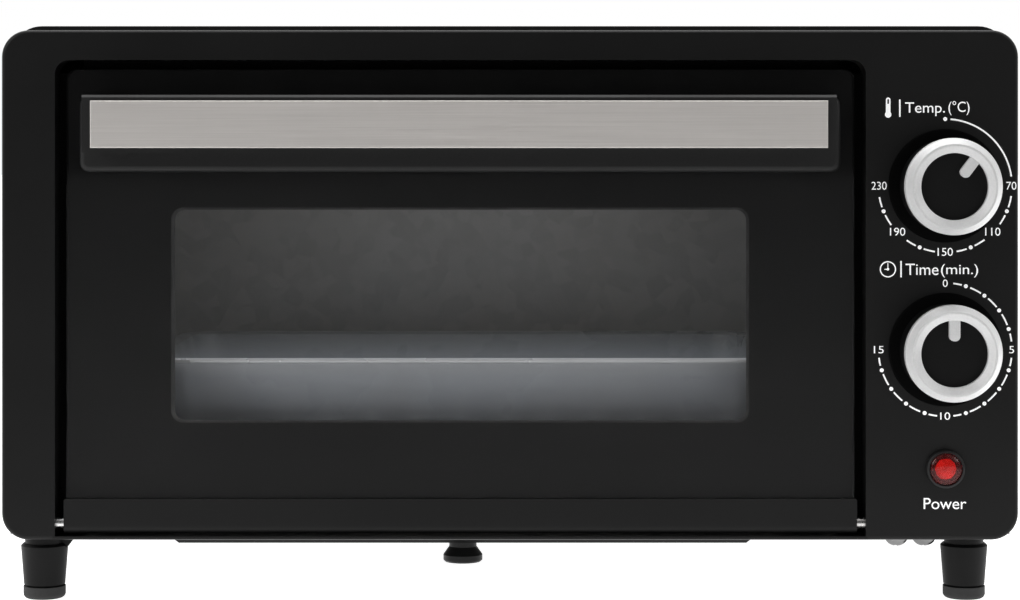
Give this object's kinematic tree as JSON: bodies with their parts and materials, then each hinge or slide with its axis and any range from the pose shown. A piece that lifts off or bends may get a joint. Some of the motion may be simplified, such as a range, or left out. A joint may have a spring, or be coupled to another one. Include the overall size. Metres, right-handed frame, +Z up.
{
  "type": "toaster oven",
  "caption": "Countertop toaster oven with a drop-down glass door, bar handle, two dials and a pilot lamp beside the door, a pull-out rack and tray, and a drop-down crumb tray.",
  "frame": {"origin": "on the table under the middle of the oven's outer box", "axes": "+Z up, the front with the door and dials faces -Y, +X to the right as seen from the front"},
  "size_m": [0.38, 0.283, 0.217],
  "materials": {
    "black_paint": "satin baked paint on sheet steel",
    "cavity_steel": "bright aluminised sheet",
    "zinc_steel": "bright zinc plate",
    "dark_steel": "dark heat-proof paint",
    "heater_tube": "heat-tinted stainless sheath",
    "ceramic": "unglazed white steatite",
    "door_glass": "tempered glass with a black printed border round a clear window",
    "black_plastic": "fine moulded texture",
    "satin_plate": "satin, brushed along its length",
    "rack_chrome": "bright plated wire",
    "tray_enamel": "smooth grey enamel",
    "knob_silver": "satin silver",
    "knob_black": "moulded black, semi-gloss",
    "red_lens": "translucent red with a faceted core",
    "control_body": "natural moulded resin",
    "rubber": "matt black",
    "terminal_plastic": "natural nylon",
    "lead_insulation": "glass-fibre sleeve"
  },
  "bodies": {
    "case": {"front_frame": "black_paint", "outer_cover": "black_paint", "rear_panel": "black_paint", "base_pan": "black_paint", "cavity_side_left": "cavity_steel", "cavity_side_right": "cavity_steel", "cavity_top": "cavity_steel", "cavity_back": "cavity_steel", "rack_rail_left": "cavity_steel", "rack_rail_right": "cavity_steel", "heater_lower_front": "heater_tube", "heater_lower_rear": "heater_tube", "heater_upper_front": "heater_tube", "heater_upper_rear": "heater_tube", "heater_ends_left": "ceramic", "heater_ends_right": "ceramic", "hinge_bracket_left": "zinc_steel", "hinge_bracket_right": "zinc_steel", "crumb_hinge_rod": "zinc_steel", "crumb_hinge_ears": "black_paint", "temperature_dish": "black_plastic", "timer_dish": "black_plastic", "thermostat": "control_body", "timer": "control_body", "control_nuts": "zinc_steel", "timer_bell": "zinc_steel", "lamp_bezel": "black_plastic", "lamp_lens": "red_lens", "lamp_body": "control_body", "foot_pads": "rubber", "foot_screws": "zinc_steel", "foot_front_left": "black_plastic", "foot_front_right": "black_plastic", "foot_rear_left": "black_plastic", "foot_rear_right": "black_plastic", "rear_screws": "zinc_steel", "panel_screws": "zinc_steel", "cord_gland": "black_plastic", "terminal_block": "terminal_plastic", "internal_leads": "lead_insulation"},
    "door": {"door_glass": "door_glass", "door_inner_frame": "dark_steel", "door_bottom_rail": "black_paint", "rail_end_left": "zinc_steel", "rail_end_right": "zinc_steel", "hinge_pin_left": "zinc_steel", "hinge_pin_right": "zinc_steel", "handle_grip": "black_plastic", "handle_plate": "satin_plate", "handle_screws": "zinc_steel"},
    "rack": {"wire_rack": "rack_chrome", "baking_tray": "tray_enamel"},
    "crumb_tray": {"crumb_flap": "black_paint", "crumb_knob": "black_plastic"},
    "temperature_dial": {"temperature_shaft": "zinc_steel", "temperature_knob_ring": "knob_silver", "temperature_knob_cap": "knob_black"},
    "timer_dial": {"timer_shaft": "zinc_steel", "timer_knob_ring": "knob_silver", "timer_knob_cap": "knob_black"}
  },
  "joints": [
    {"name": "door_hinge", "type": "hinge", "parent": "case", "child": "door", "pos_m": [-0.01855, -0.1129, 0.0303], "axis": [1, 0, 0], "range_deg": [0, 85]},
    {"name": "rack_slide", "type": "slide", "parent": "case", "child": "rack", "axis": [0, -1, 0], "range_m": [0, 0.06]},
    {"name": "crumb_tray_hinge", "type": "hinge", "parent": "case", "child": "crumb_tray", "pos_m": [-0.01855, 0.0995, 0.0198], "axis": [1, 0, 0], "range_deg": [0, 70]},
    {"name": "temperature_turn", "type": "hinge", "parent": "case", "child": "temperature_dial", "pos_m": [0.1625, -0.1165, 0.1567], "axis": [0, 1, 0], "range_deg": [-37, 233]},
    {"name": "timer_turn", "type": "hinge", "parent": "case", "child": "timer_dial", "pos_m": [0.1625, -0.1165, 0.0955], "axis": [0, 1, 0], "range_deg": [0, 270]}
  ],
  "couplings": [
    {"joint": "rack_slide", "follows": "door_hinge", "m_per_rad": 0.04}
  ]
}
